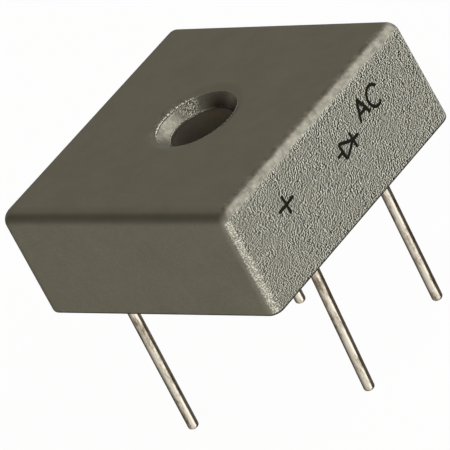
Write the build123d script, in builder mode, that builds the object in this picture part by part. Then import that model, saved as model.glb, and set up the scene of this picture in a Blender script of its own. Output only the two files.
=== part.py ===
from build123d import *
from math import atan2, cos, hypot, sin
import os

# Bridge rectifier in a square metal case, with four wire leads and a screw hole through its middle.
# Millimetres. +Z points out of the heat-sink face, and z = 0 is where the four lead tips stand.
# X and Y are centred on the case. The front is -Y, and the marked side of the case is +X.

# Case: one cup of aluminium, open downwards
case_width = 28.5
case_height = 11.15
case_draft_angle = 1.08
case_corner_radius = 1.2
case_top_edge_radius = 1.3
case_rim_radius = 0.4
wall_thickness = 1.2
top_thickness = 1.4
cavity_corner_radius = 0.9

# Screw hole: the case's face rolls down to the rim of a countersunk mouth, with a short straight throat below it,
# then a moulded sleeve runs down through the resin
mouth_radius = 4.02
mouth_dip = 0.28
mouth_roll_width = 0.73
mouth_roll_radius = 1.2
throat_radius = 3.07
throat_land = 0.15
bore_radius = 2.7
sleeve_wall = 1.3
sleeve_recess = 0.15
sleeve_edge_chamfer = 0.25

# Ceramic plate that insulates the live copper from the case
insulator_thickness = 0.6
insulator_wall_gap = 0.85
insulator_corner_clip = 1.0

# Stamped copper plates, two above the dice and two below them
plate_thickness = 0.8
plate_wall_gap = 1.4
plate_sleeve_gap = 0.9
plate_corner_clip = 0.6
plate_overlap = 5.6

# Silicon dice, each soldered between an upper and a lower plate
die_side = 4.4
die_thickness = 0.3
die_bevel = 0.08
die_solder_margin = 0.1
solder_thickness = 0.1

# Leads: tinned copper wire, pressed flat at the top into a square pad
wire_radius = 0.525
lead_length = 16.5
lead_inset = 5.35
positive_pitch = 11.5
lead_shift_x = -0.5
lead_shift_y = -0.65
pad_side = 2.4
pad_thickness = 0.5
pad_solder_margin = 0.3
tip_edge_radius = 0.3

# The free wires aren't quite upright: how far each tip has moved, along X and along Y
ac_left_tip_shift = (0.04, -0.64)
positive_tip_shift = (-0.32, -0.98)
ac_right_tip_shift = (-1.17, 0.23)
negative_tip_shift = (0.01, -0.42)

# Resin that fills the case
resin_recess = 0.4
meniscus_height = 0.35
meniscus_foot = 0.5
meniscus_tip = 0.08

# Levels, from the lead tips up
case_bottom = lead_length
case_top = case_bottom + case_height
ceiling = case_top - top_thickness
insulator_bottom = ceiling - insulator_thickness
upper_plate_bottom = insulator_bottom - plate_thickness
die_top = upper_plate_bottom - solder_thickness
die_bottom = die_top - die_thickness
lower_plate_bottom = die_bottom - solder_thickness - plate_thickness
resin_face = case_bottom + resin_recess

# Plan of the works: a square track for the plates between the case wall and the sleeve
sleeve_radius = bore_radius + sleeve_wall
track_outer = case_width / 2 - wall_thickness - plate_wall_gap
track_inner = sleeve_radius + plate_sleeve_gap
track_middle = (track_outer + track_inner) / 2

# Lead places: a square, with the positive lead moved in from its corner
lead_pitch = case_width - 2 * lead_inset
left_x = lead_shift_x - lead_pitch / 2
right_x = lead_shift_x + lead_pitch / 2
front_y = lead_shift_y - lead_pitch / 2
back_y = lead_shift_y + lead_pitch / 2
positive_y = back_y - positive_pitch

# The die on the right-hand side sits half way between the two leads there
right_die_y = (positive_y + back_y) / 2


def finish(piece, name):
    """Labels a finished piece and writes its file."""
    piece.part.label = name
    export_step(piece.part, f"parts/{name}.step")
    return piece


def tapered_block(width, corner_radius, bottom, top):
    """A square block with rounded corners that narrows upwards by the case's draft."""
    with BuildPart() as block:
        with BuildSketch(Plane.XY.offset(bottom)):
            RectangleRounded(width, width, corner_radius)
        extrude(amount=top - bottom, taper=case_draft_angle)
    return block


def case_cavity():
    """The hollow of the case, which the resin fills later."""
    return tapered_block(case_width - 2 * wall_thickness, cavity_corner_radius, case_bottom, ceiling)


def case_shell(cavity):
    """The metal cup: draft on its sides, a rounded top edge, and a countersunk hole in its face."""
    with BuildPart() as shell:
        add(tapered_block(case_width, case_corner_radius, case_bottom, case_top).part)
        fillet(shell.faces().sort_by(Axis.Z)[-1].edges(), case_top_edge_radius)
        fillet(shell.faces().sort_by(Axis.Z)[0].edges(), case_rim_radius)
        add(cavity.part, mode=Mode.SUBTRACT)
        with BuildSketch(Plane.XZ):
            with BuildLine():
                Polyline(
                    (0, case_top),
                    (mouth_radius + mouth_roll_width, case_top),
                    (mouth_radius, case_top - mouth_dip),
                    (throat_radius, ceiling + throat_land),
                    (throat_radius, ceiling),
                    (0, ceiling),
                    close=True,
                )
            make_face()
        revolve(axis=Axis.Z, mode=Mode.SUBTRACT)
        roll_edge = shell.edges().filter_by(GeomType.CIRCLE).sort_by(Axis.Z)[-1]
        fillet(roll_edge, mouth_roll_radius)
    return shell


def bore_sleeve():
    """A moulded tube that keeps the resin out of the screw hole."""
    end = case_bottom + sleeve_recess
    with BuildPart() as sleeve:
        with BuildSketch(Plane.XY.offset(end)):
            Circle(sleeve_radius)
            Circle(bore_radius, mode=Mode.SUBTRACT)
        extrude(amount=ceiling - end)
        inner_edge = sleeve.edges().group_by(Axis.Z)[0].sort_by(SortBy.RADIUS)[0]
        chamfer(inner_edge, sleeve_edge_chamfer)
    return sleeve


def insulator_plate():
    """A square of alumina with clipped corners, pushed over the sleeve."""
    width = case_width - 2 * (wall_thickness + insulator_wall_gap)
    with BuildPart() as insulator:
        with BuildSketch(Plane.XY.offset(insulator_bottom)) as outline:
            Rectangle(width, width)
            chamfer(outline.vertices(), insulator_corner_clip)
            Circle(sleeve_radius, mode=Mode.SUBTRACT)
        extrude(amount=insulator_thickness)
    return insulator


def corner_plate(side_x, side_y, end_x, end_y, bottom):
    """An L of copper round one corner of the track.

    side_x and side_y are -1 or 1 and name the corner. The L's legs end at end_x and end_y.
    """
    outer_x, outer_y = side_x * track_outer, side_y * track_outer
    inner_x, inner_y = side_x * track_inner, side_y * track_inner
    with BuildPart() as plate:
        with BuildSketch(Plane.XY.offset(bottom)) as outline:
            with BuildLine():
                Polyline(
                    (outer_x, outer_y),
                    (end_x, outer_y),
                    (end_x, inner_y),
                    (inner_x, inner_y),
                    (inner_x, end_y),
                    (outer_x, end_y),
                    close=True,
                )
            make_face()
            chamfer(outline.vertices(), plate_corner_clip)
        extrude(amount=plate_thickness)
    return plate


def die(x, y):
    """A square silicon die, bevelled round its lower edge."""
    with BuildPart() as chip:
        with BuildSketch(Plane.XY.offset(die_bottom)):
            with Locations((x, y)):
                Rectangle(die_side, die_side)
        extrude(amount=die_thickness)
        chamfer(chip.faces().sort_by(Axis.Z)[0].edges(), die_bevel)
    return chip


def solder_film(x, y, side, bottom):
    """A thin square of solder."""
    with BuildPart() as film:
        with BuildSketch(Plane.XY.offset(bottom)):
            with Locations((x, y)):
                Rectangle(side, side)
        extrude(amount=solder_thickness)
    return film


def lead(x, y, tip_shift, plate_bottom):
    """A wire lead: a flat pad under its plate, an upright shank, and a free end that leans from the case's rim."""
    seat = plate_bottom - solder_thickness
    # The end of a leaning wire is raised so that its rounded edge just touches z = 0
    tilt = atan2(hypot(*tip_shift), case_bottom)
    tip_rise = tip_edge_radius * (1 - cos(tilt)) + (wire_radius - tip_edge_radius) * sin(tilt)
    with BuildPart() as wire:
        with BuildLine():
            Polyline(
                (x, y, seat),
                (x, y, case_bottom),
                (x + tip_shift[0], y + tip_shift[1], tip_rise),
            )
        with BuildSketch(Plane(origin=(x, y, seat), z_dir=(0, 0, -1))):
            Circle(wire_radius)
        sweep(transition=Transition.RIGHT)
        fillet(wire.edges().group_by(Axis.Z)[0], tip_edge_radius)
        with Locations((x, y, seat)):
            Box(pad_side, pad_side, pad_thickness, align=(Align.CENTER, Align.CENTER, Align.MAX))
    return wire


def potting(cavity, lead_places, buried):
    """The resin: the cavity down to its recessed face, less all that is buried in it.

    It climbs each lead in a small ring.
    """
    with BuildPart() as resin:
        add(cavity.part)
        split(bisect_by=Plane.XY.offset(resin_face), keep=Keep.TOP)
        with Locations(*[(x, y, resin_face) for x, y in lead_places]):
            Cone(
                bottom_radius=wire_radius + meniscus_tip,
                top_radius=wire_radius + meniscus_foot,
                height=meniscus_height,
                align=(Align.CENTER, Align.CENTER, Align.MAX),
            )
        for piece in buried:
            add(piece.part, mode=Mode.SUBTRACT)
        with Locations((0, 0, case_bottom)):
            Cylinder(bore_radius, case_height, align=(Align.CENTER, Align.CENTER, Align.MIN), mode=Mode.SUBTRACT)
    return resin


os.makedirs("parts", exist_ok=True)

cavity = case_cavity()
finish(case_shell(cavity), "case_shell")

# Everything that the resin buries, in the order in which it is stacked from the case's ceiling down
sleeve = finish(bore_sleeve(), "bore_sleeve")
insulator = finish(insulator_plate(), "insulator_plate")
buried = [sleeve, insulator]

# The positive and negative plates lie on the ceramic, and the two alternating-current plates below the dice
half_overlap = plate_overlap / 2
plates = {
    "plate_positive": (1, -1, -half_overlap, right_die_y + half_overlap, upper_plate_bottom),
    "plate_negative": (-1, 1, half_overlap, -half_overlap, upper_plate_bottom),
    "plate_ac_left": (-1, -1, half_overlap, half_overlap, lower_plate_bottom),
    "plate_ac_right": (1, 1, -half_overlap, right_die_y - half_overlap, lower_plate_bottom),
}
for name, shape in plates.items():
    buried.append(finish(corner_plate(*shape), name))

# One die in the middle of each side of the track, between two films of solder
die_solder_side = die_side - 2 * (die_bevel + die_solder_margin)
die_places = {
    "front": (0, -track_middle),
    "right": (track_middle, right_die_y),
    "back": (0, track_middle),
    "left": (-track_middle, 0),
}
for side, (x, y) in die_places.items():
    buried.append(finish(solder_film(x, y, die_solder_side, die_top), f"solder_{side}_upper"))
    buried.append(finish(die(x, y), f"diode_{side}"))
    buried.append(finish(solder_film(x, y, die_solder_side, die_bottom - solder_thickness), f"solder_{side}_lower"))

leads = {
    "ac_left": (left_x, front_y, ac_left_tip_shift, lower_plate_bottom),
    "positive": (right_x, positive_y, positive_tip_shift, upper_plate_bottom),
    "ac_right": (right_x, back_y, ac_right_tip_shift, lower_plate_bottom),
    "negative": (left_x, back_y, negative_tip_shift, upper_plate_bottom),
}
pad_solder_side = pad_side + 2 * pad_solder_margin
for pole, (x, y, tip_shift, plate_bottom) in leads.items():
    buried.append(finish(solder_film(x, y, pad_solder_side, plate_bottom - solder_thickness), f"joint_{pole}"))
    buried.append(finish(lead(x, y, tip_shift, plate_bottom), f"lead_{pole}"))

lead_places = [(x, y) for x, y, tip_shift, plate_bottom in leads.values()]
finish(potting(cavity, lead_places, buried), "potting_resin")
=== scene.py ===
import bpy
import math
import numpy as np
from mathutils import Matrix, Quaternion, Vector


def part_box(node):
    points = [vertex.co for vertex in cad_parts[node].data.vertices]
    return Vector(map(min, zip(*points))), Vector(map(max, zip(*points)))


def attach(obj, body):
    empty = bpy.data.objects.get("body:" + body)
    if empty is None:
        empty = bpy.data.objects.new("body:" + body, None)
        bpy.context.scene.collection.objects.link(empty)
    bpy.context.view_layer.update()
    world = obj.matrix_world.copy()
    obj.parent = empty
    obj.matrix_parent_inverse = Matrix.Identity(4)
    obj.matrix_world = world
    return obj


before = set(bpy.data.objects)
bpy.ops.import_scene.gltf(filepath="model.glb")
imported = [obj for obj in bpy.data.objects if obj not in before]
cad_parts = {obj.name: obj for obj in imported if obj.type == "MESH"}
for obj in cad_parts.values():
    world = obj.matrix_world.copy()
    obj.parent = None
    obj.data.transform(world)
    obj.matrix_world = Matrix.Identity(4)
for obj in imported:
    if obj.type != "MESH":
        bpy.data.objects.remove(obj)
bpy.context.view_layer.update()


# Camera. A long lens looks down on the part's front right edge from half a metre away.
# It is held turned by almost 30 degrees, so the part leans to the left in the frame.
camera_aim_mm = Vector((-1.610, -1.798, 16.788))
camera_distance_mm = 492.67
camera_azimuth = -38.441
camera_elevation = 26.490
camera_turn = 29.321
camera_lens_mm = 442.0
sensor_width_mm = 36.0
mm_in_m = 1000


def heading(azimuth, elevation):
    """The unit vector towards an azimuth and an elevation, both in degrees."""
    turn = math.radians(azimuth)
    rise = math.radians(elevation)
    return Vector((math.cos(rise) * math.cos(turn), math.cos(rise) * math.sin(turn), math.sin(rise)))


towards_camera = heading(camera_azimuth, camera_elevation)
camera = bpy.data.objects.new("camera", bpy.data.cameras.new("camera"))
camera.data.sensor_width = sensor_width_mm
camera.data.lens = camera_lens_mm
camera.data.clip_end = 10.0
camera.location = (camera_aim_mm + towards_camera * camera_distance_mm) / mm_in_m
camera.rotation_mode = "QUATERNION"
upright = towards_camera.to_track_quat("Z", "Y")
camera.rotation_quaternion = upright @ Quaternion((0, 0, 1), -math.radians(camera_turn))
bpy.context.scene.collection.objects.link(camera)
bpy.context.scene.camera = camera
bpy.context.scene.view_settings.view_transform = "Standard"


# Studio. A room with a wide pale table on the right and a dim side on the left and overhead, as
# a metal case shows it: the table lies in its marked side, and the dim side in its top and front.
# The camera itself sees plain white.
def colour(code):
    """An sRGB hex colour as linear RGBA."""
    values = np.array([int(code[i:i + 2], 16) for i in (1, 3, 5)]) / 255
    linear = np.where(values <= 0.04045, values / 12.92, ((values + 0.055) / 1.055) ** 2.4)
    return (*linear, 1.0)


def add_node(tree, kind, links=None, values=None, **settings):
    """Adds a node to a tree.

    The settings are the node's own properties, values are constants for its sockets, and links
    are the outputs that feed its sockets.
    """
    node = tree.nodes.new(kind)
    for name, value in settings.items():
        setattr(node, name, value)
    for socket, value in (values or {}).items():
        node.inputs[socket].default_value = value
    for socket, source in (links or {}).items():
        tree.links.new(source, node.inputs[socket])
    return node


def glow(tree, direction, azimuth, elevation, start, full, strength):
    """A round pool of light on the studio's walls.

    Its middle is at an azimuth and an elevation. It starts at start degrees from the middle and
    is full within full degrees.
    """
    nearness = add_node(
        tree, "ShaderNodeVectorMath", {0: direction}, {1: heading(azimuth, elevation)},
        operation="DOT_PRODUCT",
    )
    pool = add_node(
        tree, "ShaderNodeMapRange", {"Value": nearness.outputs["Value"]},
        {
            "From Min": math.cos(math.radians(start)),
            "From Max": math.cos(math.radians(full)),
            "To Max": strength,
        },
        interpolation_type="SMOOTHSTEP",
    )
    return pool.outputs["Result"]


world = bpy.data.worlds.new("studio")
bpy.context.scene.world = world
world.use_nodes = True
tree = world.node_tree
tree.nodes.clear()
direction = add_node(tree, "ShaderNodeTexCoord").outputs["Generated"]
bearing = add_node(tree, "ShaderNodeSeparateXYZ", {"Vector": direction})

# The table lies low on the right, with the window's brighter patch in it, and ends at a straight
# edge, which is a little soft. A pale wall stands past that edge, behind the part.
table_edge = math.radians(14)
edge_softness = 0.07
table = glow(tree, direction, -20, -30, 120, 5, 0.8)
window = glow(tree, direction, -8, -26, 30, 6, 0.4)
wall = glow(tree, direction, 85, 6, 36, 26, 0.7)
past_edge = add_node(
    tree, "ShaderNodeVectorMath", {0: direction},
    {1: (math.sin(table_edge), -math.cos(table_edge), 0)}, operation="DOT_PRODUCT",
)
table_top = add_node(
    tree, "ShaderNodeMapRange", {"Value": past_edge.outputs["Value"]},
    {"From Min": -edge_softness, "From Max": edge_softness},
)
lit = add_node(tree, "ShaderNodeMath", {0: table, 1: window}, operation="ADD")
lit = add_node(
    tree, "ShaderNodeMath", {0: lit.outputs["Value"], 1: table_top.outputs["Result"]},
    operation="MULTIPLY",
)
lit = add_node(tree, "ShaderNodeMath", {0: lit.outputs["Value"], 1: wall}, operation="ADD")

# The rest of the room is dim and warm. It is paler overhead and darker ahead of the front, where
# only a far table glows a little.
far_table = glow(tree, direction, -135, -10, 38, 8, 0.105)
gloom = add_node(
    tree, "ShaderNodeMapRange", {"Value": bearing.outputs["Z"]},
    {"From Min": -0.35, "From Max": 0.4, "To Min": 0.09, "To Max": 0.32},
    interpolation_type="SMOOTHSTEP",
)
ahead = add_node(
    tree, "ShaderNodeMapRange", {"Value": bearing.outputs["Y"]},
    {"From Min": -0.4, "From Max": -0.05, "To Min": 0.25, "To Max": 0.95},
    interpolation_type="SMOOTHSTEP",
)
gloom = add_node(
    tree, "ShaderNodeMath", {0: gloom.outputs["Result"], 1: ahead.outputs["Result"]},
    operation="MULTIPLY",
)
gloom = add_node(tree, "ShaderNodeMath", {0: gloom.outputs["Value"], 1: far_table}, operation="ADD")

dark_room = add_node(
    tree, "ShaderNodeBackground", {"Strength": gloom.outputs["Value"]}, {"Color": colour("#FFF6E6")}
)
lit_room = add_node(
    tree, "ShaderNodeBackground", {"Strength": lit.outputs["Value"]}, {"Color": colour("#FDFFFC")}
)
room = add_node(
    tree, "ShaderNodeAddShader",
    {0: dark_room.outputs["Background"], 1: lit_room.outputs["Background"]},
)
backdrop = add_node(tree, "ShaderNodeBackground", None, {"Color": colour("#FFFFFF"), "Strength": 1.0})
ray = add_node(tree, "ShaderNodeLightPath")
seen = add_node(
    tree, "ShaderNodeMixShader",
    {0: ray.outputs["Is Camera Ray"], 1: room.outputs["Shader"], 2: backdrop.outputs["Background"]},
)
add_node(tree, "ShaderNodeOutputWorld", {"Surface": seen.outputs["Shader"]})


# Floor. A wide sheet of white board under the lead tips. It shows as white, keeps a faint shadow,
# and lets reflections through, so that the metal shows the studio all round it. It is clear to
# anything that looks at it from beneath.
floor_half_m = 1.5
white_share = 0.97
corners = np.array([[-1, -1, 0], [1, -1, 0], [1, 1, 0], [-1, 1, 0]]) * floor_half_m
floor_mesh = bpy.data.meshes.new("floor")
floor_mesh.from_pydata(corners.tolist(), [], [(0, 1, 2, 3)])
floor = bpy.data.objects.new("floor", floor_mesh)
bpy.context.scene.collection.objects.link(floor)

# White board: matt, even and very slightly warm.
board = bpy.data.materials.new("white_board")
board.use_nodes = True
tree = board.node_tree
tree.nodes.clear()
paper = add_node(tree, "ShaderNodeBsdfDiffuse", None, {"Color": colour("#E8E6E2")})
white = add_node(tree, "ShaderNodeEmission", None, {"Color": colour("#FFFFFF"), "Strength": 1.0})
through = add_node(tree, "ShaderNodeBsdfTransparent")
ray = add_node(tree, "ShaderNodeLightPath")
share = add_node(
    tree, "ShaderNodeMath", {0: ray.outputs["Is Camera Ray"]}, {1: white_share}, operation="MULTIPLY"
)
seen = add_node(
    tree, "ShaderNodeMixShader",
    {0: share.outputs["Value"], 1: paper.outputs["BSDF"], 2: white.outputs["Emission"]},
)
beneath = add_node(tree, "ShaderNodeNewGeometry").outputs["Backfacing"]
clear = add_node(
    tree, "ShaderNodeMath", {0: ray.outputs["Is Glossy Ray"], 1: beneath}, operation="MAXIMUM"
)
sheet = add_node(
    tree, "ShaderNodeMixShader",
    {0: clear.outputs["Value"], 1: seen.outputs["Shader"], 2: through.outputs["BSDF"]},
)
add_node(tree, "ShaderNodeOutputMaterial", {"Surface": sheet.outputs["Shader"]})
floor_mesh.materials.append(board)


# Lamps. One large soft box stands to the right, low and a little behind, so that it reaches the
# marked side and only grazes the top. A weak warm one fills in the front, and doesn't show in
# the metal.
lamp_aim_m = Vector((0, 0, 0.02))


def soft_box(name, azimuth, elevation, distance_m, width_m, watts, tint):
    """A square area lamp that faces the part's middle. It returns the lamp's object."""
    lamp = bpy.data.lights.new(name, "AREA")
    lamp.shape = "SQUARE"
    lamp.size = width_m
    lamp.energy = watts
    lamp.color = colour(tint)[:3]
    holder = bpy.data.objects.new(name, lamp)
    towards = heading(azimuth, elevation)
    holder.location = towards * distance_m + lamp_aim_m
    holder.rotation_mode = "QUATERNION"
    holder.rotation_quaternion = towards.to_track_quat("Z", "Y")
    bpy.context.scene.collection.objects.link(holder)
    return holder


soft_box("key_light", 38, 22, 0.8, 1.1, 5.2, "#FDFFFC")
fill_light = soft_box("fill_light", -80, 30, 0.9, 0.5, 2.9, "#FFF2E2")
fill_light.visible_glossy = False


# Case. One cup of aluminium, impact-extruded and blasted with grit, which the light rakes on the
# marked side. The countersunk hole is cut through its top, which is smoother, so that it seats
# on a heat sink.
rim_radius_mm = 4.02
rim_level_mm = 27.37
throat_level_mm = 26.40
right_top_edge_faces = (0.707, 0, 0.707)
front_right_edge_faces = (0.743, -0.669, 0)
cut_roughness = 0.28
grit_mm = 0.13
grit_depth_mm = 0.12
cover_mm = 1.1
mottle_mm = 4.0
scuff_mm = 0.7
torn_place_mm = Vector((-2.9, 2.3, 27.0))
slant_mm = Vector((0, 0.10, -0.08))

# Where a Mix node takes two numbers or two colours, and where it gives their mix.
number_a, number_b, mixed_number = 2, 3, 0
colour_a, colour_b, mixed_colour = 6, 7, 2


def new_material(name):
    """An empty node material, and its tree."""
    material = bpy.data.materials.new(name)
    material.use_nodes = True
    material.node_tree.nodes.clear()
    return material, material.node_tree


def dress(node_name, material):
    """Gives a carried-over piece its material."""
    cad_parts[node_name].material_slots[0].material = material


# Blasted aluminium: a bare, dull grey metal whose dents spread its reflections. Real grit leaves
# dents under a tenth of a millimetre, too fine to show, so they are drawn at grit_mm.
blasted_aluminium, tree = new_material("blasted_aluminium")
place = add_node(tree, "ShaderNodeTexCoord")
spot = add_node(tree, "ShaderNodeSeparateXYZ", {"Vector": place.outputs["Object"]})
facing = add_node(tree, "ShaderNodeSeparateXYZ", {"Vector": place.outputs["Normal"]})

# What lies within the rim, measured from the hole's axis.
from_axis = add_node(
    tree, "ShaderNodeVectorMath", {0: place.outputs["Object"]}, {1: (1, 1, 0)}, operation="MULTIPLY"
)
from_axis = add_node(tree, "ShaderNodeVectorMath", {0: from_axis.outputs["Vector"]}, operation="LENGTH")
bored = add_node(
    tree, "ShaderNodeMapRange", {"Value": from_axis.outputs["Value"]},
    {
        "From Min": (rim_radius_mm + 0.06) / mm_in_m,
        "From Max": (rim_radius_mm - 0.02) / mm_in_m,
    },
)

# The grit shows on the marked side, where the light rakes it, and hardly on the others: its pale
# and dark specks are painted highlight and shade, drawn only on the lit side. Its cover is uneven,
# and thinner near the front edge, where the side is worn.
rough_side = add_node(
    tree, "ShaderNodeMapRange", {"Value": facing.outputs["Z"]},
    {"From Min": 0.05, "From Max": 0.5, "To Min": 1.0, "To Max": 0.0},
    interpolation_type="SMOOTHSTEP",
)
raked_side = add_node(
    tree, "ShaderNodeMapRange", {"Value": facing.outputs["X"]},
    {"From Min": 0.3, "From Max": 0.75, "To Min": 0.05, "To Max": 1.0},
    interpolation_type="SMOOTHSTEP",
)
blasted = add_node(
    tree, "ShaderNodeMath", {0: rough_side.outputs["Result"], 1: raked_side.outputs["Result"]},
    operation="MULTIPLY",
)
cover = add_node(
    tree, "ShaderNodeTexNoise", {"Vector": place.outputs["Object"]},
    {"Scale": mm_in_m / cover_mm, "Detail": 2.0},
)
cover = add_node(
    tree, "ShaderNodeMapRange", {"Value": cover.outputs["Fac"]},
    {"From Min": 0.40, "From Max": 0.56, "To Min": 0.55, "To Max": 1.0},
)
worn = add_node(
    tree, "ShaderNodeMapRange", {"Value": spot.outputs["Y"]},
    {"From Min": -13.5 / mm_in_m, "From Max": -6.0 / mm_in_m, "To Min": 0.7, "To Max": 1.0},
    interpolation_type="SMOOTHSTEP",
)
cover = add_node(
    tree, "ShaderNodeMath", {0: cover.outputs["Result"], 1: worn.outputs["Result"]},
    operation="MULTIPLY",
)
blasted = add_node(
    tree, "ShaderNodeMath", {0: blasted.outputs["Value"], 1: cover.outputs["Value"]},
    operation="MULTIPLY",
)

# In the hole only one patch on the left is rough, where the cutter tore the countersink.
to_tear = add_node(
    tree, "ShaderNodeVectorMath", {0: place.outputs["Object"]}, {1: torn_place_mm / mm_in_m},
    operation="DISTANCE",
)
torn = add_node(
    tree, "ShaderNodeMapRange", {"Value": to_tear.outputs["Value"]},
    {"From Min": 1.1 / mm_in_m, "From Max": 0.3 / mm_in_m, "To Min": 0.04, "To Max": 0.6},
)
gritty = add_node(
    tree, "ShaderNodeMix",
    {"Factor": bored.outputs["Result"], number_a: blasted.outputs["Value"], number_b: torn.outputs["Result"]},
)

# Smooth metal is faintly mottled, and scuffed along the rolled edge above the marked side.
mottle = add_node(
    tree, "ShaderNodeTexNoise", {"Vector": place.outputs["Object"]},
    {"Scale": mm_in_m / mottle_mm, "Detail": 6.0, "Roughness": 0.8},
)
smooth_tone = add_node(
    tree, "ShaderNodeMix", {"Factor": mottle.outputs["Fac"]},
    {colour_a: colour("#7E7D71"), colour_b: colour("#9A978B")}, data_type="RGBA",
)
to_top_edge = add_node(
    tree, "ShaderNodeVectorMath", {0: place.outputs["Normal"]}, {1: right_top_edge_faces},
    operation="DOT_PRODUCT",
)
scuffed = add_node(
    tree, "ShaderNodeMapRange", {"Value": to_top_edge.outputs["Value"]},
    {"From Min": 0.78, "From Max": 0.92, "To Max": 0.9}, interpolation_type="SMOOTHSTEP",
)
scuffs = add_node(
    tree, "ShaderNodeTexNoise", {"Vector": place.outputs["Object"]},
    {"Scale": mm_in_m / scuff_mm, "Detail": 4.0, "Roughness": 0.7},
)
scuffs = add_node(
    tree, "ShaderNodeMapRange", {"Value": scuffs.outputs["Fac"]}, {"From Min": 0.35, "From Max": 0.65}
)
scuff_tone = add_node(
    tree, "ShaderNodeMix", {"Factor": scuffs.outputs["Result"]},
    {colour_a: colour("#716F67"), colour_b: colour("#A09C91")}, data_type="RGBA",
)
smooth_tone = add_node(
    tree, "ShaderNodeMix",
    {
        "Factor": scuffed.outputs["Result"],
        colour_a: smooth_tone.outputs[mixed_colour], colour_b: scuff_tone.outputs[mixed_colour],
    },
    data_type="RGBA",
)

# The grit's height is read twice, a little apart on a slant across the side. Where it slopes down
# that way a pale speck is painted, a painted highlight as raking light would draw it, and where it
# slopes up a dark speck, a painted shade. The pattern is turned askew, so that its rows don't run
# along the case's edges.
heights = []
for shift_mm in (Vector((0, 0, 0)), slant_mm):
    moved = add_node(
        tree, "ShaderNodeVectorMath", {0: place.outputs["Object"]}, {1: shift_mm / mm_in_m},
        operation="ADD",
    )
    askew = add_node(
        tree, "ShaderNodeMapping", {"Vector": moved.outputs["Vector"]}, {"Rotation": (0.6, 0.5, 0.4)}
    )
    grit = add_node(
        tree, "ShaderNodeTexNoise", {"Vector": askew.outputs["Vector"]},
        {"Scale": mm_in_m / grit_mm, "Detail": 0.0},
    )
    heights.append(grit.outputs["Fac"])
slope = add_node(tree, "ShaderNodeMath", {0: heights[0], 1: heights[1]}, operation="SUBTRACT")
fleck_highlight = add_node(
    tree, "ShaderNodeMapRange", {"Value": slope.outputs["Value"]}, {"From Min": 0.045, "From Max": 0.1}
)
pit_shade = add_node(
    tree, "ShaderNodeMapRange", {"Value": slope.outputs["Value"]}, {"From Min": -0.045, "From Max": -0.1}
)
# Painted highlight and painted shade of the raked grit, over its mid grey.
highlighted_grit = add_node(
    tree, "ShaderNodeMix", {"Factor": fleck_highlight.outputs["Result"]},
    {colour_a: colour("#95938A"), colour_b: colour("#FFFFF4")}, data_type="RGBA",
)
raked_grit_tone = add_node(
    tree, "ShaderNodeMix",
    {"Factor": pit_shade.outputs["Result"], colour_a: highlighted_grit.outputs[mixed_colour]},
    {colour_b: colour("#12100A")}, data_type="RGBA",
)
tone = add_node(
    tree, "ShaderNodeMix",
    {
        "Factor": gritty.outputs[mixed_number],
        colour_a: smooth_tone.outputs[mixed_colour], colour_b: raked_grit_tone.outputs[mixed_colour],
    },
    data_type="RGBA",
)

# A painted highlight: the upright edge at the front right is painted paler, where the light
# catches it.
facets = add_node(
    tree, "ShaderNodeMapRange", {"Value": heights[0]}, {"From Min": 0.36, "From Max": 0.64}
)
highlight_tone = add_node(
    tree, "ShaderNodeMix", {"Factor": facets.outputs["Result"]},
    {colour_a: colour("#A09D8F"), colour_b: colour("#F2F0E4")}, data_type="RGBA",
)
to_corner = add_node(
    tree, "ShaderNodeVectorMath", {0: place.outputs["Normal"]}, {1: front_right_edge_faces},
    operation="DOT_PRODUCT",
)
edge_highlight = add_node(
    tree, "ShaderNodeMapRange", {"Value": to_corner.outputs["Value"]},
    {"From Min": 0.93, "From Max": 0.992}, interpolation_type="SMOOTHSTEP",
)
tone = add_node(
    tree, "ShaderNodeMix",
    {
        "Factor": edge_highlight.outputs["Result"],
        colour_a: tone.outputs[mixed_colour], colour_b: highlight_tone.outputs[mixed_colour],
    },
    data_type="RGBA",
)

# Painted shade: faces that turn downwards, along the lower edges, are darkened, and so is the
# hole's far wall, which faces away from the light, more so towards the throat.
underside_shade = add_node(
    tree, "ShaderNodeMapRange", {"Value": facing.outputs["Z"]},
    {"From Min": -0.05, "From Max": -0.4, "To Max": 0.85}, interpolation_type="SMOOTHSTEP",
)
tone = add_node(
    tree, "ShaderNodeMix",
    {"Factor": underside_shade.outputs["Result"], colour_a: tone.outputs[mixed_colour]},
    {colour_b: colour("#1E1C18")}, data_type="RGBA",
)
# Painted shade in the hole: the far wall, which faces away from the light, darker deeper down.
far_wall = add_node(
    tree, "ShaderNodeMapRange", {"Value": facing.outputs["X"]}, {"From Min": 0.42, "From Max": 0.12}
)
deep = add_node(
    tree, "ShaderNodeMapRange", {"Value": spot.outputs["Z"]},
    {
        "From Min": (rim_level_mm + 0.03) / mm_in_m,
        "From Max": (throat_level_mm + 0.05) / mm_in_m,
    },
)
hole_shade = add_node(
    tree, "ShaderNodeMath", {0: far_wall.outputs["Result"], 1: deep.outputs["Result"]},
    operation="MULTIPLY",
)
hole_shade = add_node(
    tree, "ShaderNodeMath", {0: hole_shade.outputs["Value"], 1: bored.outputs["Result"]},
    operation="MULTIPLY",
)
tone = add_node(
    tree, "ShaderNodeMix",
    {"Factor": hole_shade.outputs["Value"], colour_a: tone.outputs[mixed_colour]},
    {colour_b: colour("#463D39")}, data_type="RGBA",
)

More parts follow.
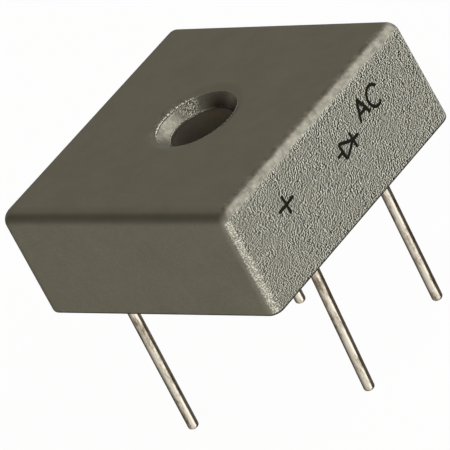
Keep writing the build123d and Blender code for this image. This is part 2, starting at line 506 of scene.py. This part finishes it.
# The dents break up the gloss of the sides, the cut hole is the glossiest, and the sides' skin
# is more of an oxide and less of a bare metal than the top's.
dents = add_node(
    tree, "ShaderNodeBump",
    {"Height": facets.outputs["Result"], "Strength": gritty.outputs[mixed_number]},
    {"Distance": grit_depth_mm / mm_in_m},
)
side_gloss = add_node(
    tree, "ShaderNodeMapRange", {"Value": rough_side.outputs["Result"]}, {"To Min": 0.34, "To Max": 0.48}
)
gloss = add_node(
    tree, "ShaderNodeMix",
    {"Factor": bored.outputs["Result"], number_a: side_gloss.outputs["Result"]}, {number_b: cut_roughness},
)
skin = add_node(
    tree, "ShaderNodeMapRange", {"Value": rough_side.outputs["Result"]}, {"To Min": 0.85, "To Max": 0.6}
)
metal = add_node(
    tree, "ShaderNodeBsdfPrincipled",
    {
        "Base Color": tone.outputs[mixed_colour], "Metallic": skin.outputs["Result"],
        "Roughness": gloss.outputs[mixed_number], "Normal": dents.outputs["Normal"],
    },
)
add_node(tree, "ShaderNodeOutputMaterial", {"Surface": metal.outputs["BSDF"]})
dress("case_shell", blasted_aluminium)


# Marks. Twelve thin strokes of dark ink, printed on the right-hand side and rising a little to
# the right: a plus over the positive lead, a diode, and AC over an alternating lead. Each is a
# bead of ink, flat and rounded, that stands a few hundredths of a millimetre proud.
ink_width_mm = 0.35
ink_height_mm = 0.035
ink_patch_mm = 0.3
case_half_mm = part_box("case_shell")[1][0] * mm_in_m
case_bottom_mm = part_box("case_shell")[0][2] * mm_in_m
case_draft = math.tan(math.radians(1.08))


def add_surface(name, points_mm, closed_along, material):
    """Makes a piece from a grid of points whose rows are rings.

    The second index runs round a ring. The first runs from ring to ring, and closed_along joins
    the last ring to the first. Otherwise a point in the middle of each end ring closes it.
    """
    rings, around = points_mm.shape[:2]
    index = np.arange(rings * around).reshape(rings, around)
    here, there = (index, np.roll(index, -1, axis=0)) if closed_along else (index[:-1], index[1:])
    quads = np.stack([here, np.roll(here, -1, axis=1), np.roll(there, -1, axis=1), there], axis=-1)
    faces = quads.reshape(-1, 4).tolist()
    vertices = points_mm.reshape(-1, 3)
    if not closed_along:
        vertices = np.vstack([vertices, points_mm[[0, -1]].mean(axis=1)])
        first, last = index[0], index[-1]
        start_fan = np.stack([np.full(around, index.size), np.roll(first, -1), first], axis=-1)
        end_fan = np.stack([np.full(around, index.size + 1), last, np.roll(last, -1)], axis=-1)
        faces += start_fan.tolist() + end_fan.tolist()
    mesh = bpy.data.meshes.new(name)
    mesh.from_pydata((vertices / mm_in_m).tolist(), [], faces)
    mesh.polygons.foreach_set("use_smooth", np.ones(len(faces), dtype=bool))
    mesh.materials.append(material)
    piece = bpy.data.objects.new(name, mesh)
    bpy.context.scene.collection.objects.link(piece)
    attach(piece, "root")


def ink_stroke(name, line):
    """Lays a bead of ink along a line on the marked side.

    line is an array of (y, height above the case's rim) in mm. The bead's section is an ellipse,
    ink_width wide and twice ink_height deep, centred on the metal. It shrinks as a circle does
    over the last half width at either end, so that the ends are round.
    """
    steps = np.linalg.norm(np.diff(line, axis=0), axis=1)
    along = np.concatenate([[0], np.cumsum(steps)])
    length = along[-1]
    half = ink_width_mm / 2
    into_end = half * (1 - np.sin(np.linspace(0.12, 1, 7) * np.pi / 2))
    middle = np.linspace(half, length - half, 21)[1:-1]
    samples = np.unique(np.concatenate([into_end, middle, length - into_end]))
    centre = np.stack([np.interp(samples, along, line[:, k]) for k in (0, 1)], axis=-1)
    tangent = np.gradient(centre, samples, axis=0)
    tangent /= np.linalg.norm(tangent, axis=1, keepdims=True)
    across = np.stack([-tangent[:, 1], tangent[:, 0]], axis=-1)
    to_end = np.minimum(samples, length - samples)
    bluntest = 0.995
    shrink = np.sqrt(1 - np.clip(1 - to_end / half, 0, bluntest) ** 2)
    turn = np.linspace(0, 2 * np.pi, 13)[:-1]
    offset = half * shrink[:, None] * np.cos(turn)
    lift = ink_height_mm * shrink[:, None] * np.sin(turn)
    flat = centre[:, None, :] + across[:, None, :] * offset[..., None]
    face_x = case_half_mm - case_draft * flat[..., 1]
    points = np.stack([face_x + lift, flat[..., 0], case_bottom_mm + flat[..., 1]], axis=-1)
    add_surface(name, points, False, marking_ink)


def straight(start, end):
    """A straight line between two places, in 9 points."""
    return np.linspace(start, end, 9)


def bow(centre, radii, start, end):
    """A piece of an ellipse, from one angle in degrees to another, in 33 points.

    Each point is the centre plus one radius times the angle's cosine and the other times its sine.
    """
    angle = np.radians(np.linspace(start, end, 33))
    return np.stack([centre[0] + radii[0] * np.cos(angle), centre[1] + radii[1] * np.sin(angle)], axis=-1)


# Marking ink, printed and cured: a matt brown black, a little thin in places.
marking_ink, tree = new_material("marking_ink")
place = add_node(tree, "ShaderNodeTexCoord")
thin = add_node(
    tree, "ShaderNodeTexNoise", {"Vector": place.outputs["Object"]},
    {"Scale": mm_in_m / ink_patch_mm, "Detail": 2.0},
)
tone = add_node(
    tree, "ShaderNodeMix", {"Factor": thin.outputs["Fac"]},
    {colour_a: colour("#0C0A05"), colour_b: colour("#1B170E")}, data_type="RGBA",
)
cured = add_node(
    tree, "ShaderNodeBsdfPrincipled", {"Base Color": tone.outputs[mixed_colour]},
    {"Roughness": 0.8, "Specular IOR Level": 0.2},
)
add_node(tree, "ShaderNodeOutputMaterial", {"Surface": cured.outputs["BSDF"]})

ink_stroke("mark_plus_across", straight((-8.5, 6.90), (-6.1, 7.00)))
ink_stroke("mark_plus_upright", straight((-7.25, 5.95), (-7.35, 7.95)))
ink_stroke("mark_diode_base", straight((1.15, 5.25), (1.05, 6.95)))
ink_stroke("mark_diode_upper", straight((1.05, 6.95), (2.75, 6.15)))
ink_stroke("mark_diode_lower", straight((1.15, 5.25), (2.75, 6.15)))
ink_stroke("mark_diode_bar", straight((2.85, 5.30), (2.75, 7.00)))
ink_stroke("mark_diode_lead_in", straight((0.25, 6.05), (1.10, 6.10)))
ink_stroke("mark_diode_lead_out", straight((2.80, 6.15), (3.65, 6.20)))
ink_stroke("mark_a_left", straight((4.55, 6.60), (5.35, 8.65)))
ink_stroke("mark_a_right", straight((5.35, 8.65), (6.10, 6.65)))
ink_stroke("mark_a_bar", straight((4.80, 7.30), (5.85, 7.30)))
ink_stroke("mark_c", bow((7.30, 7.55), (0.88, 1.03), 28, 308))


# Burr. The countersink's cutter left a bead of torn aluminium on its two edges, thick and jagged
# on the left, where it cut against the metal's grain, and hair-thin elsewhere.
rim_burr_mm = 0.105
throat_radius_mm = 3.07
throat_burr_mm = 0.055
torn_patch_mm = 0.2


def bead(radius_mm, level_mm, size_mm):
    """A bead round the hole.

    One parameter is the angle about the hole, the other the angle about the bead's middle. Its
    radius is size_mm on the left and falls to a sixteenth of that elsewhere, on a logistic
    curve. A sum of five sines of unrelated frequencies makes it up to 85% thicker or thinner.
    """
    turn = np.linspace(0, 2 * np.pi, 901)[:-1]
    jags = sum(np.sin(waves * turn + 1.7 * waves) for waves in (47, 71, 113, 157, 199)) / 2.4
    thick = size_mm * (0.06 + 0.94 / (1 + np.exp(-(np.cos(turn - np.radians(175)) - 0.76) * 22)))
    thick = thick * (1 + 0.85 * np.clip(1.4 * jags, -1, 1))
    around = np.linspace(0, 2 * np.pi, 9)[:-1]
    reach = radius_mm + thick[:, None] * np.cos(around)
    height = level_mm + thick[:, None] * (0.3 + np.sin(around))
    return np.stack([reach * np.cos(turn)[:, None], reach * np.sin(turn)[:, None], height], axis=-1)


# Torn aluminium: bare and satin, brighter than the blasted skin round it.
torn_aluminium, tree = new_material("torn_aluminium")
place = add_node(tree, "ShaderNodeTexCoord")
shine = add_node(
    tree, "ShaderNodeTexNoise", {"Vector": place.outputs["Object"]},
    {"Scale": mm_in_m / torn_patch_mm, "Detail": 1.0},
)
tone = add_node(
    tree, "ShaderNodeMix", {"Factor": shine.outputs["Fac"]},
    {colour_a: colour("#C2BFB2"), colour_b: colour("#FFFDF4")}, data_type="RGBA",
)
bare = add_node(
    tree, "ShaderNodeBsdfPrincipled", {"Base Color": tone.outputs[mixed_colour]},
    {"Metallic": 0.9, "Roughness": 0.3},
)
add_node(tree, "ShaderNodeOutputMaterial", {"Surface": bare.outputs["BSDF"]})
rim_bead = bead(rim_radius_mm, rim_level_mm, rim_burr_mm)
throat_bead = bead(throat_radius_mm, throat_level_mm, throat_burr_mm)
add_surface("burr_rim", rim_bead, True, torn_aluminium)
add_surface("burr_throat", throat_bead, True, torn_aluminium)


# Sleeve. A moulded tube that lines the screw hole under the case's top. It keeps the resin out of
# the hole while it is poured, and is held by the resin afterwards.
speck_mm = 0.4
speck_depth_mm = 0.03

# Moulded nylon, filled with glass fibre: dark brown and satin, a little speckled by the fibres.
# The end that faces up under the throat is darker.
moulded_nylon, tree = new_material("moulded_nylon")
place = add_node(tree, "ShaderNodeTexCoord")
facing = add_node(tree, "ShaderNodeSeparateXYZ", {"Vector": place.outputs["Normal"]})
speck = add_node(
    tree, "ShaderNodeTexNoise", {"Vector": place.outputs["Object"]},
    {"Scale": mm_in_m / speck_mm, "Detail": 3.0},
)
wall_tone = add_node(
    tree, "ShaderNodeMix", {"Factor": speck.outputs["Fac"]},
    {colour_a: colour("#4A453C"), colour_b: colour("#575146")}, data_type="RGBA",
)
end_face = add_node(
    tree, "ShaderNodeMapRange", {"Value": facing.outputs["Z"]}, {"From Min": 0.3, "From Max": 0.7}
)
tone = add_node(
    tree, "ShaderNodeMix",
    {"Factor": end_face.outputs["Result"], colour_a: wall_tone.outputs[mixed_colour]},
    {colour_b: colour("#37332C")}, data_type="RGBA",
)
fine = add_node(
    tree, "ShaderNodeBump", {"Height": speck.outputs["Fac"]},
    {"Strength": 0.3, "Distance": speck_depth_mm / mm_in_m},
)
plastic = add_node(
    tree, "ShaderNodeBsdfPrincipled",
    {"Base Color": tone.outputs[mixed_colour], "Normal": fine.outputs["Normal"]}, {"Roughness": 0.55},
)
add_node(tree, "ShaderNodeOutputMaterial", {"Surface": plastic.outputs["BSDF"]})
dress("bore_sleeve", moulded_nylon)


# Works. A ceramic plate, four stamped copper plates, four silicon dice and the solder between
# them, stacked and soldered under the case's top. They are buried in the resin, and show only
# when the part is cut.
works = (
    # Sintered alumina: a warm white, matt and faintly grainy.
    ("sintered_alumina", "#E9E5DA", "#F1EEE6", 0.3, {"Roughness": 0.55}, ["insulator_plate"]),
    # Stamped copper: a pink metal with the satin of rolled sheet.
    (
        "stamped_copper", "#C28A66", "#CE9873", 1.5, {"Metallic": 1.0, "Roughness": 0.32},
        ["plate_positive", "plate_negative", "plate_ac_left", "plate_ac_right"],
    ),
    # Glassed silicon: blue grey and glossy, under a thin film of glass.
    (
        "glassed_silicon", "#4C525B", "#5A616B", 0.8, {"Metallic": 0.3, "Roughness": 0.2},
        ["diode_front", "diode_right", "diode_back", "diode_left"],
    ),
    # Soft solder: a pale grey metal, satin where it froze.
    (
        "soft_solder", "#AFAFAB", "#BDBDB9", 0.5, {"Metallic": 1.0, "Roughness": 0.35},
        [
            "solder_front_upper", "solder_right_upper", "solder_back_upper", "solder_left_upper",
            "solder_front_lower", "solder_right_lower", "solder_back_lower", "solder_left_lower",
            "joint_ac_left", "joint_positive", "joint_ac_right", "joint_negative",
        ],
    ),
)
for name, dark, pale, cloud_mm, values, node_names in works:
    material, tree = new_material(name)
    place = add_node(tree, "ShaderNodeTexCoord")
    cloud = add_node(
        tree, "ShaderNodeTexNoise", {"Vector": place.outputs["Object"]},
        {"Scale": mm_in_m / cloud_mm, "Detail": 3.0},
    )
    tone = add_node(
        tree, "ShaderNodeMix", {"Factor": cloud.outputs["Fac"]},
        {colour_a: colour(dark), colour_b: colour(pale)}, data_type="RGBA",
    )
    body = add_node(
        tree, "ShaderNodeBsdfPrincipled", {"Base Color": tone.outputs[mixed_colour]}, values
    )
    add_node(tree, "ShaderNodeOutputMaterial", {"Surface": body.outputs["BSDF"]})
    for node_name in node_names:
        dress(node_name, material)


# Leads. Four round copper wires, a millimetre thick, each soldered to its plate by a flat pad and
# held by the resin. They were dipped in hot tin, so that they take solder.
streak_mm = 0.15
streak_depth_mm = 0.03
tarnish_mm = 0.7

# Hot-dipped tin: bright and satin, streaked along the wire, which was drawn, with a thin brown
# tarnish in patches that are longer than they are wide.
hot_dipped_tin, tree = new_material("hot_dipped_tin")
place = add_node(tree, "ShaderNodeTexCoord")
drawn = add_node(
    tree, "ShaderNodeMapping", {"Vector": place.outputs["Object"]}, {"Scale": (1.0, 1.0, 0.06)}
)
streak = add_node(
    tree, "ShaderNodeTexNoise", {"Vector": drawn.outputs["Vector"]},
    {"Scale": mm_in_m / streak_mm, "Detail": 3.0},
)
stretched = add_node(
    tree, "ShaderNodeMapping", {"Vector": place.outputs["Object"]}, {"Scale": (1.0, 1.0, 0.3)}
)
patch = add_node(
    tree, "ShaderNodeTexNoise", {"Vector": stretched.outputs["Vector"]},
    {"Scale": mm_in_m / tarnish_mm, "Detail": 6.0, "Roughness": 0.8},
)
tarnish = add_node(
    tree, "ShaderNodeMapRange", {"Value": patch.outputs["Fac"]}, {"From Min": 0.48, "From Max": 0.62}
)
tone = add_node(
    tree, "ShaderNodeMix", {"Factor": tarnish.outputs["Result"]},
    {colour_a: colour("#F2E7D8"), colour_b: colour("#95846C")}, data_type="RGBA",
)
satin = add_node(
    tree, "ShaderNodeMapRange", {"Value": streak.outputs["Fac"]}, {"To Min": 0.1, "To Max": 0.22}
)
ripple = add_node(
    tree, "ShaderNodeBump", {"Height": streak.outputs["Fac"]},
    {"Strength": 0.25, "Distance": streak_depth_mm / mm_in_m},
)
tin = add_node(
    tree, "ShaderNodeBsdfPrincipled",
    {
        "Base Color": tone.outputs[mixed_colour], "Roughness": satin.outputs["Result"],
        "Normal": ripple.outputs["Normal"],
    },
    {"Metallic": 1.0},
)
add_node(tree, "ShaderNodeOutputMaterial", {"Surface": tin.outputs["BSDF"]})
for pole in ("ac_left", "positive", "ac_right", "negative"):
    dress(f"lead_{pole}", hot_dipped_tin)


# Resin. Black epoxy, poured in to just below the case's rim and cured. It wets the wall, the
# sleeve and the leads, so its face climbs a little at each of them, and it keeps a few burst bubbles.
resin_level_mm = 16.9
sleeve_radius_mm = 4.0
cavity_half_mm = 13.05
cavity_corner_mm = 0.9
skin_depth_mm = 0.12
resin_cloud_mm = 3.0
# Each burst bubble's place and its radius.
burst_bubbles_mm = (
    (-4.6, 6.9, 0.42), (7.3, -9.6, 0.30), (2.1, 9.8, 0.24), (-10.4, 1.7, 0.33), (-2.3, -7.1, 0.22)
)

# Cast epoxy: black, glossy where it ran smooth, and duller in clouds a few millimetres wide.
cast_epoxy, tree = new_material("cast_epoxy")
place = add_node(tree, "ShaderNodeTexCoord")
cloud = add_node(
    tree, "ShaderNodeTexNoise", {"Vector": place.outputs["Object"]},
    {"Scale": mm_in_m / resin_cloud_mm, "Detail": 4.0},
)
tone = add_node(
    tree, "ShaderNodeMix", {"Factor": cloud.outputs["Fac"]},
    {colour_a: colour("#191817"), colour_b: colour("#242220")}, data_type="RGBA",
)
satin = add_node(
    tree, "ShaderNodeMapRange", {"Value": cloud.outputs["Fac"]}, {"To Min": 0.25, "To Max": 0.45}
)
epoxy = add_node(
    tree, "ShaderNodeBsdfPrincipled",
    {"Base Color": tone.outputs[mixed_colour], "Roughness": satin.outputs["Result"]},
)
add_node(tree, "ShaderNodeOutputMaterial", {"Surface": epoxy.outputs["BSDF"]})
dress("potting_resin", cast_epoxy)


def resin_drop(x, y):
    """How far the resin hangs below its level, in mm.

    It grows exponentially towards the case's wall and towards the sleeve, and two long slow
    waves run through it. Each bubble is a round dent with a low lip.
    """
    over = np.stack([np.abs(x), np.abs(y)]) - (cavity_half_mm - cavity_corner_mm)
    outside = np.hypot(*np.maximum(over, 0)) + np.minimum(over.max(axis=0), 0)
    to_wall = np.maximum(cavity_corner_mm - outside, 0)
    to_sleeve = np.maximum(np.hypot(x, y) - sleeve_radius_mm, 0)
    drop = 0.02 + 0.27 * np.exp(-to_wall / 0.5) + 0.16 * np.exp(-to_sleeve / 0.4)
    drop += 0.015 * np.sin(0.45 * x + 0.8) * np.cos(0.38 * y)
    for bubble_x, bubble_y, radius in burst_bubbles_mm:
        reach = np.hypot(x - bubble_x, y - bubble_y) / radius
        dent = 0.4 * radius * np.exp(-reach ** 2)
        lip = 0.12 * radius * np.exp(-((reach - 1.3) / 0.35) ** 2)
        drop -= dent - lip
    return drop


def resin_skin():
    """The resin's face, as a thin closed sheet round the sleeve.

    One parameter is the angle about the hole. The other runs outwards from the sleeve to the
    wall along the face, and back through the resin, so each ring is a closed loop. The outer
    reach at an angle is that of a square with rounded corners: a superellipse of power 30.
    """
    angle = np.linspace(0, 2 * np.pi, 481)[:-1, None]
    power = 30
    reach = (np.abs(np.cos(angle)) ** power + np.abs(np.sin(angle)) ** power) ** (-1 / power)
    outwards = np.linspace(0, 1, 91)[None, :]
    radius = (sleeve_radius_mm - 0.1) * (1 - outwards) + (cavity_half_mm + 0.15) * reach * outwards
    x, y = radius * np.cos(angle), radius * np.sin(angle)
    face = np.stack([x, y, resin_level_mm - resin_drop(x, y)], axis=-1)
    back = face[:, ::-15].copy()
    back[..., 2] = resin_level_mm + skin_depth_mm
    return np.concatenate([face, back], axis=1)


add_surface("resin_face", resin_skin(), True, cast_epoxy)

# Each lead leaves the case at its foot, where the resin climbs it in a small ring.
wire_radius_mm = 0.525
ring_width_mm = 1.5
ring_climb_mm = 0.52
ring_fade_mm = 0.42
lead_feet_mm = {
    "ac_left": (-9.4, -9.55),
    "positive": (8.4, -3.25),
    "ac_right": (8.4, 8.25),
    "negative": (-9.4, 8.25),
}


def resin_ring(x, y):
    """The resin that climbs a lead: a closed curve, turned about the lead's axis.

    Its face falls exponentially with the distance from the wire, and it is closed by a flat back
    inside the resin.
    """
    away = np.linspace(0, 1, 19) ** 1.4 * ring_width_mm
    climb = ring_climb_mm * np.exp(-away / ring_fade_mm)
    climb = climb - ring_climb_mm * math.exp(-ring_width_mm / ring_fade_mm) - 0.03
    inner = wire_radius_mm - 0.05
    outer = wire_radius_mm + ring_width_mm - 0.1
    radius = np.concatenate([inner + away, [outer, inner]])
    height = np.concatenate([resin_level_mm - 0.02 - climb, [resin_level_mm + skin_depth_mm] * 2])
    angle = np.linspace(0, 2 * np.pi, 49)[:-1, None]
    level = np.broadcast_to(height, (angle.size, height.size))
    return np.stack([x + radius * np.cos(angle), y + radius * np.sin(angle), level], axis=-1)


for pole, (foot_x, foot_y) in lead_feet_mm.items():
    add_surface(f"resin_ring_{pole}", resin_ring(foot_x, foot_y), True, cast_epoxy)
